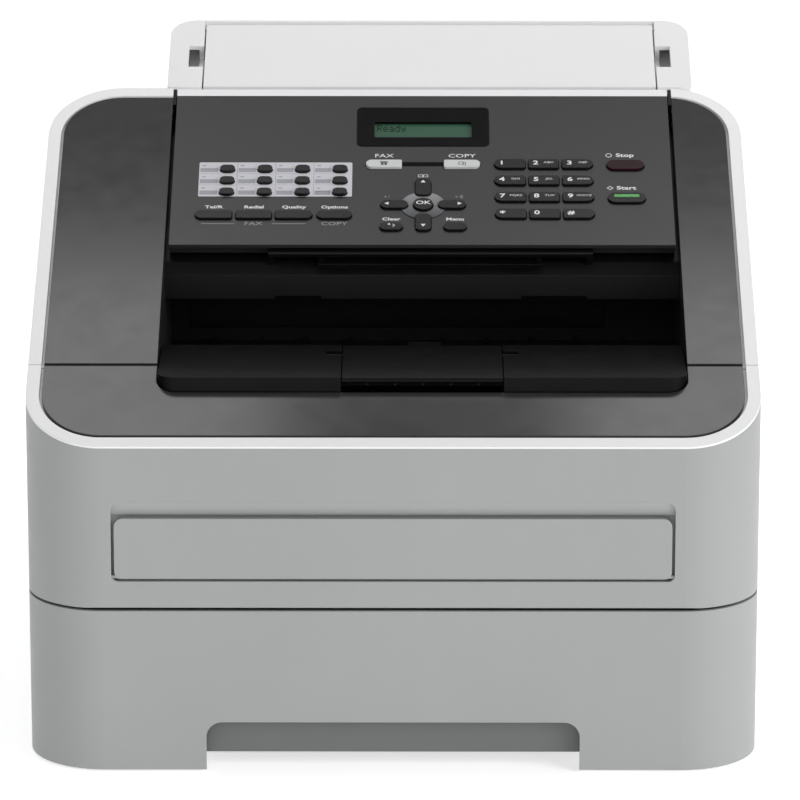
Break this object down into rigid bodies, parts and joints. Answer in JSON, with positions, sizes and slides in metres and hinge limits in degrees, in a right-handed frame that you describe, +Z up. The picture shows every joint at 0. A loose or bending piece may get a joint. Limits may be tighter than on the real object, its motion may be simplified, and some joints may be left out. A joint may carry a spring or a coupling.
{
  "type": "fax machine",
  "caption": "Desktop laser fax machine with sloped keypad panel, document feeder, output recess, folding front cover and sliding paper cassette.",
  "frame": {"origin": "centre of the footprint, on the surface the machine stands on", "axes": "+X to the user's right across the front, +Y from the front to the back, +Z up"},
  "size_m": [0.368, 0.36, 0.311],
  "materials": {
    "frame": "satin moulded ABS, dark grey",
    "case": "fine textured ABS, mid grey",
    "rim": "smooth satin ABS, white",
    "top": "fine textured ABS, charcoal",
    "recess": "textured ABS, black",
    "shelf": "textured ABS, black",
    "plate": "zinc-plated sheet",
    "guide": "satin ABS",
    "panel": "satin painted ABS, charcoal",
    "window": "polished black acrylic",
    "display": "liquid crystal display, green",
    "board": "glass-epoxy board with solder mask",
    "socket": "moulded nylon, black",
    "cartridge": "moulded styrene, black",
    "roller": "ground EPDM rubber on a steel shaft",
    "engine": "glass-filled polycarbonate",
    "key": "satin ABS key cap, black",
    "key_stop": "satin ABS key cap, dark red",
    "key_light": "satin ABS key cap, light grey"
  },
  "bodies": {
    "base": {"base_frame": "frame", "left_cover": "case", "right_cover": "case", "rear_housing": "case", "rim_frame": "rim", "top_cover": "top", "output_tray": "recess", "adf_base": "recess", "hood_frame": "rim", "rear_sockets": "socket", "print_cartridge": "cartridge", "fuser_unit": "engine", "laser_unit": "engine", "main_board": "board"},
    "front_door": {"front_cover": "case", "front_rim": "rim", "front_top": "top", "front_shelf": "shelf"},
    "support_flap": {"support_flap": "shelf"},
    "manual_feed_cover": {"manual_feed_cover": "case"},
    "paper_tray": {"paper_tray": "case"},
    "lift_plate": {"lift_plate": "plate"},
    "paper_guide_left": {"paper_guide_left": "guide"},
    "paper_guide_right": {"paper_guide_right": "guide"},
    "control_panel": {"panel_shell": "panel", "display_bezel": "window", "display_screen": "display", "panel_board": "board"},
    "document_tray": {"document_tray": "rim"},
    "rear_cover": {"rear_cover": "case"},
    "pickup_roller": {"pickup_roller": "roller"},
    "adf_roller": {"adf_roller": "roller"},
    "key_stop": {"key_stop": "key_stop"},
    "key_start": {"key_start": "key"},
    "key_fax": {"key_fax": "key_light"},
    "key_copy": {"key_copy": "key_light"},
    "key_up": {"key_up": "key"},
    "key_down": {"key_down": "key"},
    "key_left": {"key_left": "key"},
    "key_right": {"key_right": "key"},
    "key_ok": {"key_ok": "key"},
    "key_clear": {"key_clear": "key"},
    "key_menu": {"key_menu": "key"},
    "one_touch_keys": {"one_touch_keys": "key"},
    "key_hook": {"key_hook": "key"},
    "key_redial": {"key_redial": "key"},
    "key_resolution": {"key_resolution": "key"},
    "key_options": {"key_options": "key"},
    "key_1": {"key_1": "key"},
    "key_2": {"key_2": "key"},
    "key_3": {"key_3": "key"},
    "key_4": {"key_4": "key"},
    "key_5": {"key_5": "key"},
    "key_6": {"key_6": "key"},
    "key_7": {"key_7": "key"},
    "key_8": {"key_8": "key"},
    "key_9": {"key_9": "key"},
    "key_star": {"key_star": "key"},
    "key_0": {"key_0": "key"},
    "key_hash": {"key_hash": "key"}
  },
  "joints": [
    {"name": "control_panel_hinge", "type": "hinge", "parent": "base", "child": "control_panel", "pos_m": [0, 0.10021, 0.28493], "axis": [-1, 0, 0], "range_deg": [0, 60]},
    {"name": "front_door_hinge", "type": "hinge", "parent": "base", "child": "front_door", "pos_m": [0, -0.174, 0.09235], "axis": [1, 0, 0], "range_deg": [0, 80]},
    {"name": "paper_tray_slide", "type": "slide", "parent": "base", "child": "paper_tray", "axis": [0, 1, 0], "range_m": [-0.25, 0]},
    {"name": "document_tray_hinge", "type": "hinge", "parent": "base", "child": "document_tray", "pos_m": [0, 0.16417, 0.30698], "axis": [-1, 0, 0], "range_deg": [0, 110]},
    {"name": "rear_cover_hinge", "type": "hinge", "parent": "base", "child": "rear_cover", "pos_m": [0, 0.1787, 0.0973], "axis": [-1, 0, 0], "range_deg": [0, 85]},
    {"name": "manual_feed_hinge", "type": "hinge", "parent": "front_door", "child": "manual_feed_cover", "pos_m": [0, -0.1782, 0.1025], "axis": [-1, 0, 0], "range_deg": [-90, 0]},
    {"name": "support_flap_hinge", "type": "hinge", "parent": "front_door", "child": "support_flap", "pos_m": [0, -0.093, 0.1927], "axis": [-1, 0, 0], "range_deg": [0, 50]},
    {"name": "lift_plate_hinge", "type": "hinge", "parent": "paper_tray", "child": "lift_plate", "pos_m": [0, 0.006, 0.0134], "axis": [-1, 0, 0], "range_deg": [0, 12]},
    {"name": "paper_guide_left_slide", "type": "slide", "parent": "paper_tray", "child": "paper_guide_left", "axis": [1, 0, 0], "range_m": [0, 0.034]},
    {"name": "paper_guide_right_slide", "type": "slide", "parent": "paper_tray", "child": "paper_guide_right", "axis": [-1, 0, 0], "range_m": [0, 0.034]},
    {"name": "pickup_roller_spin", "type": "hinge", "parent": "base", "child": "pickup_roller", "pos_m": [0, -0.096, 0.086], "axis": [1, 0, 0], "continuous": true},
    {"name": "adf_roller_spin", "type": "hinge", "parent": "base", "child": "adf_roller", "pos_m": [0, 0.05109, 0.24816], "axis": [1, 0, 0], "continuous": true},
    {"name": "key_start_press", "type": "slide", "parent": "control_panel", "child": "key_start", "axis": [0, 0.3853, -0.9228], "range_m": [0, 0.0012], "stiffness_N_per_m": 200, "springref_m": -0.0006},
    {"name": "key_5_press", "type": "slide", "parent": "control_panel", "child": "key_5", "axis": [0, 0.3853, -0.9228], "range_m": [0, 0.0012], "stiffness_N_per_m": 200, "springref_m": -0.0006},
    {"name": "key_fax_press", "type": "slide", "parent": "control_panel", "child": "key_fax", "axis": [0, 0.3853, -0.9228], "range_m": [0, 0.0012], "stiffness_N_per_m": 200, "springref_m": -0.0006},
    {"name": "key_up_press", "type": "slide", "parent": "control_panel", "child": "key_up", "axis": [0, 0.3853, -0.9228], "range_m": [0, 0.0012], "stiffness_N_per_m": 200, "springref_m": -0.0006},
    {"name": "key_ok_press", "type": "slide", "parent": "control_panel", "child": "key_ok", "axis": [0, 0.3853, -0.9228], "range_m": [0, 0.0012], "stiffness_N_per_m": 200, "springref_m": -0.0006},
    {"name": "one_touch_keys_press", "type": "slide", "parent": "control_panel", "child": "one_touch_keys", "axis": [0, 0.3853, -0.9228], "range_m": [0, 0.0012], "stiffness_N_per_m": 200, "springref_m": -0.0006},
    {"name": "key_stop_press", "type": "slide", "parent": "control_panel", "child": "key_stop", "axis": [0, 0.3853, -0.9228], "range_m": [0, 0.0012], "stiffness_N_per_m": 200, "springref_m": -0.0006},
    {"name": "key_options_press", "type": "slide", "parent": "control_panel", "child": "key_options", "axis": [0, 0.3853, -0.9228], "range_m": [0, 0.0012], "stiffness_N_per_m": 200, "springref_m": -0.0006},
    {"name": "key_copy_press", "type": "slide", "parent": "control_panel", "child": "key_copy", "axis": [0, 0.3853, -0.9228], "range_m": [0, 0.0012], "stiffness_N_per_m": 200, "springref_m": -0.0006},
    {"name": "key_down_press", "type": "slide", "parent": "control_panel", "child": "key_down", "axis": [0, 0.3853, -0.9228], "range_m": [0, 0.0012], "stiffness_N_per_m": 200, "springref_m": -0.0006},
    {"name": "key_left_press", "type": "slide", "parent": "control_panel", "child": "key_left", "axis": [0, 0.3853, -0.9228], "range_m": [0, 0.0012], "stiffness_N_per_m": 200, "springref_m": -0.0006},
    {"name": "key_right_press", "type": "slide", "parent": "control_panel", "child": "key_right", "axis": [0, 0.3853, -0.9228], "range_m": [0, 0.0012], "stiffness_N_per_m": 200, "springref_m": -0.0006},
    {"name": "key_clear_press", "type": "slide", "parent": "control_panel", "child": "key_clear", "axis": [0, 0.3853, -0.9228], "range_m": [0, 0.0012], "stiffness_N_per_m": 200, "springref_m": -0.0006},
    {"name": "key_menu_press", "type": "slide", "parent": "control_panel", "child": "key_menu", "axis": [0, 0.3853, -0.9228], "range_m": [0, 0.0012], "stiffness_N_per_m": 200, "springref_m": -0.0006},
    {"name": "key_hook_press", "type": "slide", "parent": "control_panel", "child": "key_hook", "axis": [0, 0.3853, -0.9228], "range_m": [0, 0.0012], "stiffness_N_per_m": 200, "springref_m": -0.0006},
    {"name": "key_redial_press", "type": "slide", "parent": "control_panel", "child": "key_redial", "axis": [0, 0.3853, -0.9228], "range_m": [0, 0.0012], "stiffness_N_per_m": 200, "springref_m": -0.0006},
    {"name": "key_resolution_press", "type": "slide", "parent": "control_panel", "child": "key_resolution", "axis": [0, 0.3853, -0.9228], "range_m": [0, 0.0012], "stiffness_N_per_m": 200, "springref_m": -0.0006},
    {"name": "key_1_press", "type": "slide", "parent": "control_panel", "child": "key_1", "axis": [0, 0.3853, -0.9228], "range_m": [0, 0.0012], "stiffness_N_per_m": 200, "springref_m": -0.0006},
    {"name": "key_2_press", "type": "slide", "parent": "control_panel", "child": "key_2", "axis": [0, 0.3853, -0.9228], "range_m": [0, 0.0012], "stiffness_N_per_m": 200, "springref_m": -0.0006},
    {"name": "key_3_press", "type": "slide", "parent": "control_panel", "child": "key_3", "axis": [0, 0.3853, -0.9228], "range_m": [0, 0.0012], "stiffness_N_per_m": 200, "springref_m": -0.0006},
    {"name": "key_4_press", "type": "slide", "parent": "control_panel", "child": "key_4", "axis": [0, 0.3853, -0.9228], "range_m": [0, 0.0012], "stiffness_N_per_m": 200, "springref_m": -0.0006},
    {"name": "key_6_press", "type": "slide", "parent": "control_panel", "child": "key_6", "axis": [0, 0.3853, -0.9228], "range_m": [0, 0.0012], "stiffness_N_per_m": 200, "springref_m": -0.0006},
    {"name": "key_7_press", "type": "slide", "parent": "control_panel", "child": "key_7", "axis": [0, 0.3853, -0.9228], "range_m": [0, 0.0012], "stiffness_N_per_m": 200, "springref_m": -0.0006},
    {"name": "key_8_press", "type": "slide", "parent": "control_panel", "child": "key_8", "axis": [0, 0.3853, -0.9228], "range_m": [0, 0.0012], "stiffness_N_per_m": 200, "springref_m": -0.0006},
    {"name": "key_9_press", "type": "slide", "parent": "control_panel", "child": "key_9", "axis": [0, 0.3853, -0.9228], "range_m": [0, 0.0012], "stiffness_N_per_m": 200, "springref_m": -0.0006},
    {"name": "key_star_press", "type": "slide", "parent": "control_panel", "child": "key_star", "axis": [0, 0.3853, -0.9228], "range_m": [0, 0.0012], "stiffness_N_per_m": 200, "springref_m": -0.0006},
    {"name": "key_0_press", "type": "slide", "parent": "control_panel", "child": "key_0", "axis": [0, 0.3853, -0.9228], "range_m": [0, 0.0012], "stiffness_N_per_m": 200, "springref_m": -0.0006},
    {"name": "key_hash_press", "type": "slide", "parent": "control_panel", "child": "key_hash", "axis": [0, 0.3853, -0.9228], "range_m": [0, 0.0012], "stiffness_N_per_m": 200, "springref_m": -0.0006}
  ],
  "couplings": [
    {"joint": "paper_guide_right_slide", "follows": "paper_guide_left_slide", "ratio": 1}
  ]
}
